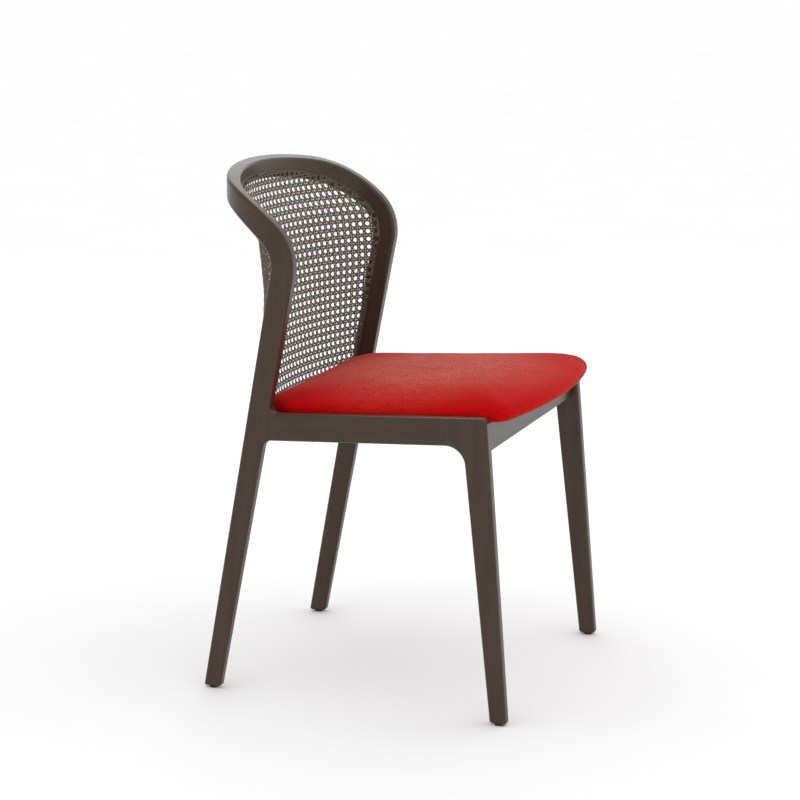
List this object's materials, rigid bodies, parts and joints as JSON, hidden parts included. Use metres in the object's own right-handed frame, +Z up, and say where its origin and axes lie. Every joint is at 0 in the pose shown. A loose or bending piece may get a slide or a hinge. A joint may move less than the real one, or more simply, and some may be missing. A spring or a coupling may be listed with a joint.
{
  "type": "dining chair",
  "caption": "Dark-stained wooden dining chair with a wrap-round woven cane back, raked legs and a red upholstered drop-in seat.",
  "frame": {"origin": "on the floor, below the middle of the overall width and depth", "axes": "+X across the chair to its left, +Y to the back, +Z up; the chair is symmetric about the YZ plane"},
  "size_m": [0.5048, 0.5183, 0.7891],
  "materials": {
    "stained_wood": "satin",
    "cane": "satin",
    "seat_fabric": "matte",
    "foam": "matte",
    "plywood": "matte",
    "plain_wood": "matte",
    "black_cloth": "matte",
    "steel": "zinc plated",
    "nylon": "matte"
  },
  "bodies": {
    "root": {"back_arm_left": "stained_wood", "back_arm_right": "stained_wood", "block_screws": "steel", "cane_panel": "cane", "crest_rail": "stained_wood", "dust_cover": "black_cloth", "dust_cover_staples": "steel", "frame_dowels": "plain_wood", "front_corner_block_left": "plain_wood", "front_corner_block_right": "plain_wood", "front_glide_left": "nylon", "front_glide_right": "nylon", "front_leg_left": "stained_wood", "front_leg_right": "stained_wood", "front_rail": "stained_wood", "glide_nails": "steel", "lower_cane_spline": "cane", "rear_glide_left": "nylon", "rear_glide_right": "nylon", "rear_leg_left": "stained_wood", "rear_leg_right": "stained_wood", "rear_rail": "stained_wood", "rear_seat_block_left": "plain_wood", "rear_seat_block_right": "plain_wood", "seat_board": "plywood", "seat_bolts": "steel", "seat_cover": "seat_fabric", "seat_foam": "foam", "side_rail_left": "stained_wood", "side_rail_right": "stained_wood", "tee_nuts": "steel", "upper_cane_spline": "cane"}
  },
  "joints": []
}
